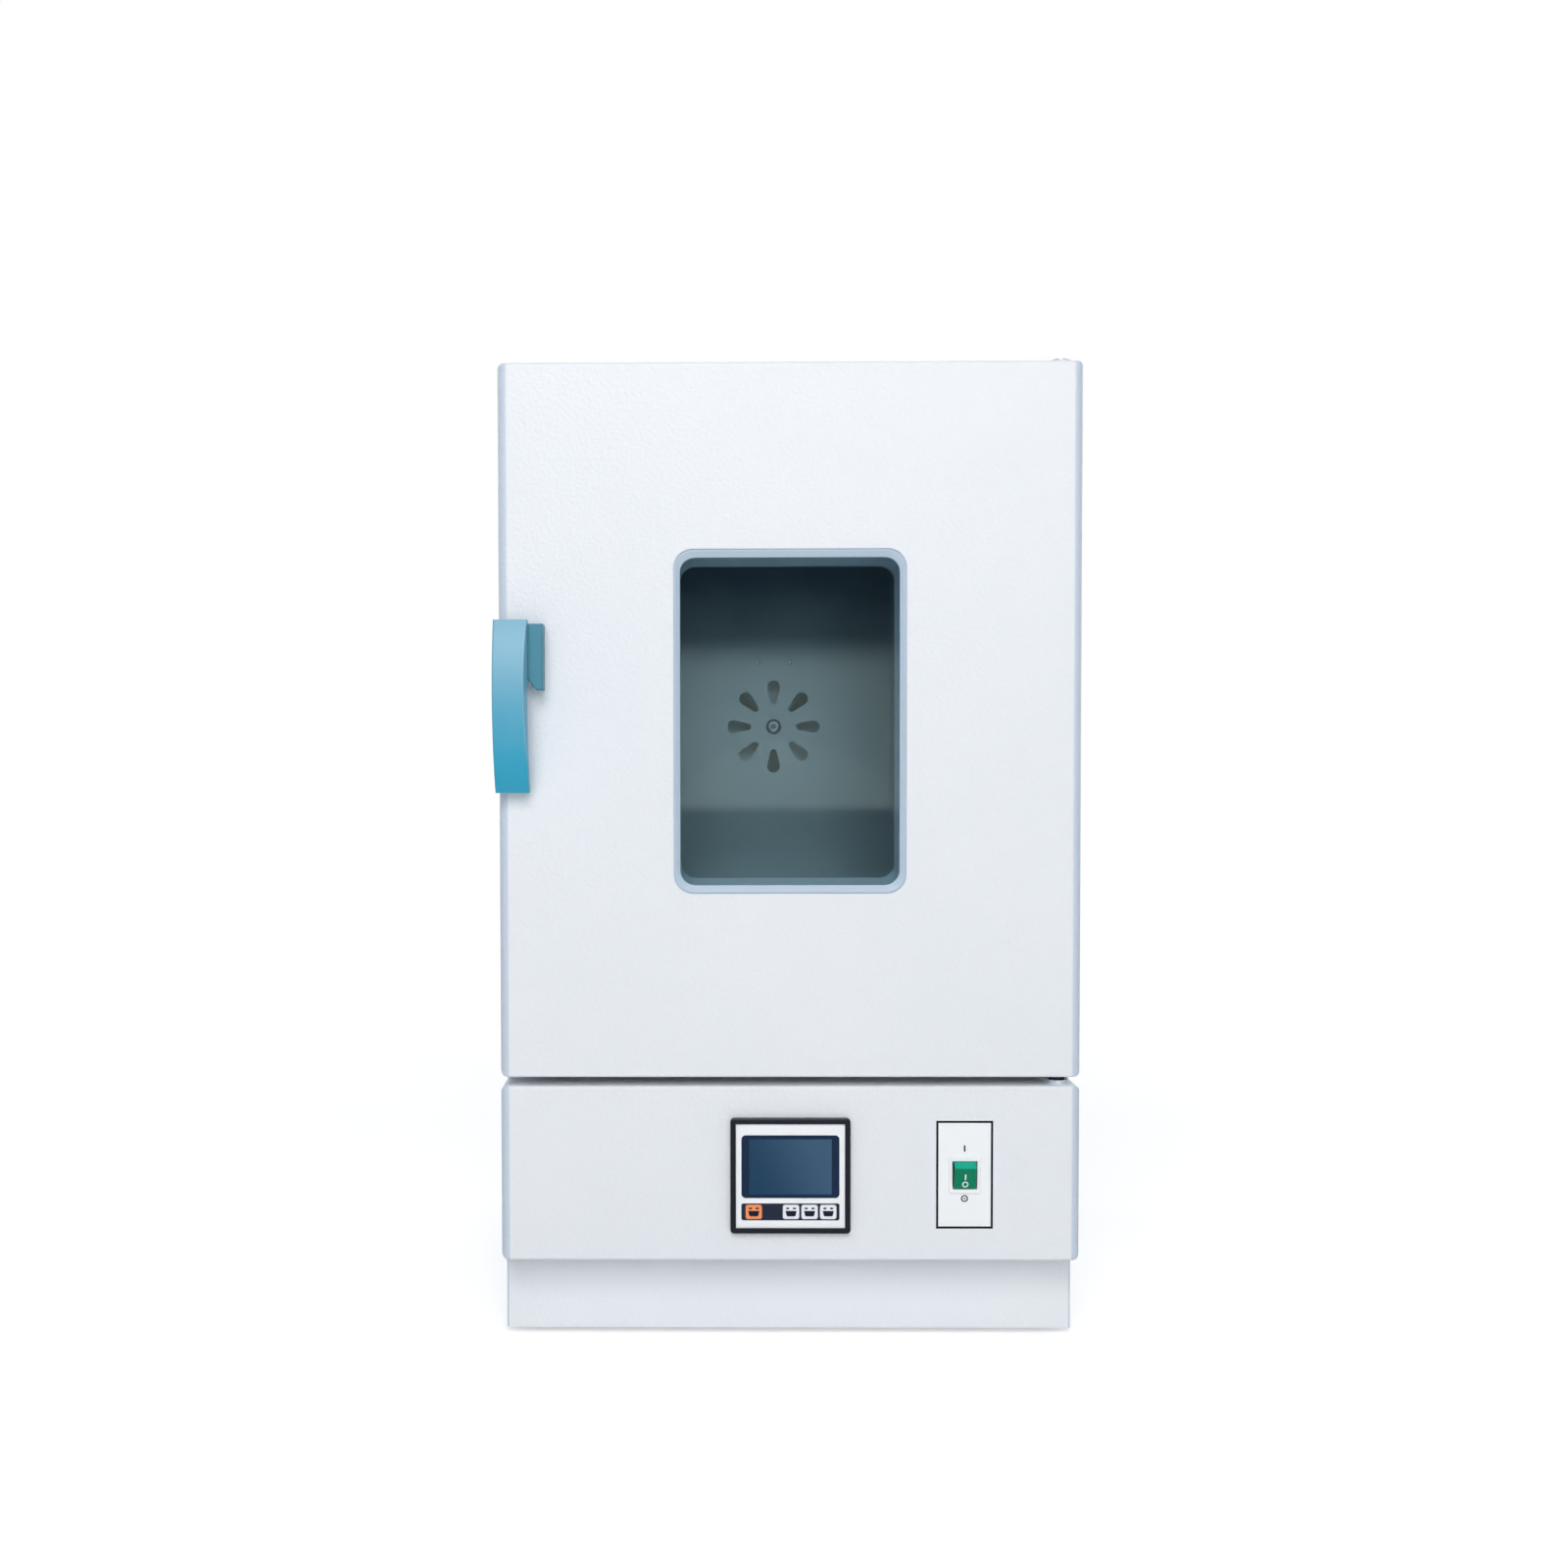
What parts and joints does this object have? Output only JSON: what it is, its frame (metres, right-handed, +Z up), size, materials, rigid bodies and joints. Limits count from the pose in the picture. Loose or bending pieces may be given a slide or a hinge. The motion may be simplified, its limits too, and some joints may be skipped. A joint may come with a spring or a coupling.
{
  "type": "hot air sterilizer",
  "caption": "Free-standing hot air sterilizer: upright cabinet, glazed side-hinged door with a bowed handle, control panel below with a display, keys and a rocker switch.",
  "frame": {"origin": "bottom centre of the whole object's bounding box, with the door closed", "axes": "+Z up; the door and the control panel face -Y; +X is to the right as seen from the front"},
  "size_m": [0.4696, 0.5412, 0.8059],
  "materials": {
    "paint": "fine textured powder coat",
    "paint_plinth": "fine textured powder coat",
    "stainless": "satin",
    "zinc_sheet": "galvanised",
    "screw_steel": "bright zinc",
    "aluminium": "bare",
    "heater_sheath": "oxidised",
    "ceramic": "fired",
    "wool": "mineral fibre",
    "seal_silicone": "matte",
    "rubber_black": "matte",
    "bezel_blue": "satin",
    "tunnel_blue": "satin",
    "glass_clear": "clear",
    "handle_blue": "satin",
    "black_plastic": "satin",
    "dark_lens": "glossy",
    "white_plastic": "satin",
    "pale_keys": "satin",
    "orange_key": "satin",
    "rocker_green": "glossy",
    "brass": "machined"
  },
  "bodies": {
    "cabinet": {"cabinet_shell": "paint", "front_frame": "paint", "chamber_liner": "stainless", "cabinet_insulation": "wool", "divider_plate": "zinc_sheet", "rear_bulkhead": "zinc_sheet", "rear_cover": "paint", "rear_cover_screws": "screw_steel", "base_plinth": "paint_plinth", "rubber_feet": "rubber_black", "control_panel": "paint", "control_panel_screws": "screw_steel", "controller_frame": "black_plastic", "controller_case": "black_plastic", "controller_face": "white_plastic", "display_lens": "dark_lens", "key_strip": "dark_lens", "power_plate": "white_plastic", "switch_housing": "white_plastic", "hinge_plates": "paint", "hinge_pins": "stainless", "thrust_washer": "black_plastic", "hinge_screws": "screw_steel", "strike_pin": "stainless", "fan_baffle": "stainless", "baffle_screws": "screw_steel", "fan_motor": "zinc_sheet", "heating_element": "heater_sheath", "heater_glands": "ceramic", "temperature_probe": "stainless", "shelf_racks": "stainless", "vent_tube": "stainless", "vent_ring": "aluminium", "power_inlet": "black_plastic", "fuse_holder": "black_plastic"},
    "door": {"door_skin": "paint", "door_inner_panel": "stainless", "door_insulation": "wool", "window_bezel": "bezel_blue", "outer_glass": "glass_clear", "inner_glass": "glass_clear", "window_tunnel": "tunnel_blue", "glass_retainer": "stainless", "retainer_screws": "screw_steel", "door_seal": "seal_silicone", "hinge_bushes": "brass", "handle_block": "handle_blue", "handle_pin": "stainless"},
    "handle": {"handle_lever": "handle_blue", "latch_hook": "stainless"},
    "fan": {"fan_impeller": "aluminium", "impeller_nut": "stainless", "motor_shaft": "stainless"},
    "shelf": {"wire_shelf": "stainless"},
    "rocker": {"power_rocker": "rocker_green"},
    "run_key": {"key_run": "orange_key"},
    "set_key": {"key_set": "pale_keys"},
    "down_key": {"key_down": "pale_keys"},
    "up_key": {"key_up": "pale_keys"},
    "vent_knob": {"vent_cap": "aluminium"}
  },
  "joints": [
    {"name": "door_hinge", "type": "hinge", "parent": "cabinet", "child": "door", "pos_m": [0.21825, -0.21706, 0.5025], "axis": [0, 0, 1], "range_deg": [0, 165]},
    {"name": "handle_pivot", "type": "hinge", "parent": "door", "child": "handle", "pos_m": [-0.20075, -0.24456, 0.5536], "axis": [0, 0, 1], "range_deg": [0, 30]},
    {"name": "fan_spin", "type": "hinge", "parent": "cabinet", "child": "fan", "pos_m": [0.00225, 0.12744, 0.5025], "axis": [0, 1, 0], "continuous": true},
    {"name": "shelf_slide", "type": "slide", "parent": "cabinet", "child": "shelf", "axis": [0, -1, 0], "range_m": [0, 0.02]},
    {"name": "power_switch", "type": "hinge", "parent": "cabinet", "child": "rocker", "pos_m": [0.14175, -0.23406, 0.1398], "axis": [-1, 0, 0], "range_deg": [0, 32]},
    {"name": "vent_turn", "type": "hinge", "parent": "cabinet", "child": "vent_knob", "pos_m": [0.00225, 0.06794, 0.798], "axis": [0, 0, 1], "range_deg": [0, 45]},
    {"name": "run_press", "type": "slide", "parent": "cabinet", "child": "run_key", "axis": [0, 1, 0], "range_m": [0, 0.0008], "stiffness_N_per_m": 400},
    {"name": "set_press", "type": "slide", "parent": "cabinet", "child": "set_key", "axis": [0, 1, 0], "range_m": [0, 0.0008], "stiffness_N_per_m": 400},
    {"name": "down_press", "type": "slide", "parent": "cabinet", "child": "down_key", "axis": [0, 1, 0], "range_m": [0, 0.0008], "stiffness_N_per_m": 400},
    {"name": "up_press", "type": "slide", "parent": "cabinet", "child": "up_key", "axis": [0, 1, 0], "range_m": [0, 0.0008], "stiffness_N_per_m": 400}
  ]
}
